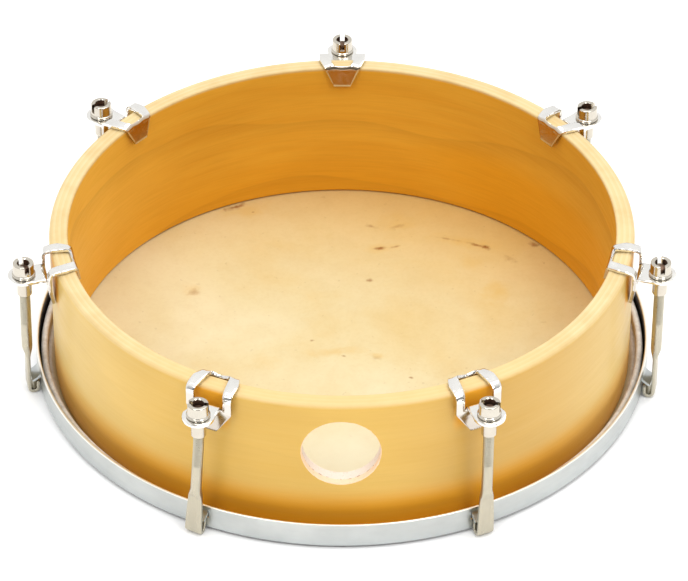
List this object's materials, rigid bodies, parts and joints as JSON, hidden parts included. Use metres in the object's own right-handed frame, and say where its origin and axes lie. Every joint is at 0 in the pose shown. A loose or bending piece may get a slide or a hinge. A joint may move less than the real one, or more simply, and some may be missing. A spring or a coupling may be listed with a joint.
{
  "type": "hand drum",
  "caption": "Round single-headed hand drum: bent ply shell with a grip hole, hide head on a steel hoop, drawn tight by hooks and slotted nuts on rim brackets.",
  "frame": {"origin": "centre of the hide's playing face, on the drum's axis", "axes": "+Z along the drum's axis from the playing face to the open rim; +Y towards the first lug, -Y towards the grip hole"},
  "size_m": [0.3383, 0.333, 0.0848],
  "materials": {
    "shell_wood": "amber satin lacquer",
    "head_hide": "natural mottled hide",
    "tuck_hide": "dry tucked hide",
    "flesh_steel": "plain steel",
    "hoop_steel": "galvanised, satin",
    "bracket_plate": "bright plate",
    "hook_nickel": "warm nickel plate",
    "nut_chrome": "bright nickel plate"
  },
  "bodies": {
    "shell_body": {"shell": "shell_wood", "drum_head": "head_hide", "bracket_1": "bracket_plate", "bracket_2": "bracket_plate", "bracket_3": "bracket_plate", "bracket_4": "bracket_plate", "bracket_5": "bracket_plate", "bracket_6": "bracket_plate", "bracket_7": "bracket_plate"},
    "hoop_assembly": {"counter_hoop": "hoop_steel", "flesh_hoop": "flesh_steel", "head_tuck": "tuck_hide", "tension_hook_1": "hook_nickel", "tension_hook_2": "hook_nickel", "tension_hook_3": "hook_nickel", "tension_hook_4": "hook_nickel", "tension_hook_5": "hook_nickel", "tension_hook_6": "hook_nickel", "tension_hook_7": "hook_nickel"},
    "nut_1": {"tuning_nut_1": "nut_chrome"},
    "nut_2": {"tuning_nut_2": "nut_chrome"},
    "nut_3": {"tuning_nut_3": "nut_chrome"},
    "nut_4": {"tuning_nut_4": "nut_chrome"},
    "nut_5": {"tuning_nut_5": "nut_chrome"},
    "nut_6": {"tuning_nut_6": "nut_chrome"},
    "nut_7": {"tuning_nut_7": "nut_chrome"}
  },
  "joints": [
    {"name": "head_tension", "type": "slide", "parent": "shell_body", "child": "hoop_assembly", "axis": [0, 0, 1], "range_m": [-0.0016, 0.0033]},
    {"name": "nut_1_turn", "type": "hinge", "parent": "shell_body", "child": "nut_1", "pos_m": [0, 0.1653, 0.0772], "axis": [0, 0, -1], "range_deg": [-580, 1192]},
    {"name": "nut_2_turn", "type": "hinge", "parent": "shell_body", "child": "nut_2", "pos_m": [-0.12828, 0.10425, 0.0772], "axis": [0, 0, -1], "range_deg": [-580, 1192]},
    {"name": "nut_3_turn", "type": "hinge", "parent": "shell_body", "child": "nut_3", "pos_m": [-0.16113, -0.0369, 0.0772], "axis": [0, 0, -1], "range_deg": [-580, 1192]},
    {"name": "nut_4_turn", "type": "hinge", "parent": "shell_body", "child": "nut_4", "pos_m": [-0.0696, -0.14993, 0.0772], "axis": [0, 0, -1], "range_deg": [-580, 1192]},
    {"name": "nut_5_turn", "type": "hinge", "parent": "shell_body", "child": "nut_5", "pos_m": [0.07168, -0.14895, 0.0772], "axis": [0, 0, -1], "range_deg": [-580, 1192]},
    {"name": "nut_6_turn", "type": "hinge", "parent": "shell_body", "child": "nut_6", "pos_m": [0.16138, -0.03578, 0.0772], "axis": [0, 0, -1], "range_deg": [-580, 1192]},
    {"name": "nut_7_turn", "type": "hinge", "parent": "shell_body", "child": "nut_7", "pos_m": [0.13026, 0.10177, 0.0772], "axis": [0, 0, -1], "range_deg": [-580, 1192]}
  ],
  "couplings": [
    {"joint": "nut_1_turn", "follows": "head_tension", "rad_per_m": 6283.2},
    {"joint": "nut_2_turn", "follows": "head_tension", "rad_per_m": 6283.2},
    {"joint": "nut_3_turn", "follows": "head_tension", "rad_per_m": 6283.2},
    {"joint": "nut_4_turn", "follows": "head_tension", "rad_per_m": 6283.2},
    {"joint": "nut_5_turn", "follows": "head_tension", "rad_per_m": 6283.2},
    {"joint": "nut_6_turn", "follows": "head_tension", "rad_per_m": 6283.2},
    {"joint": "nut_7_turn", "follows": "head_tension", "rad_per_m": 6283.2}
  ]
}
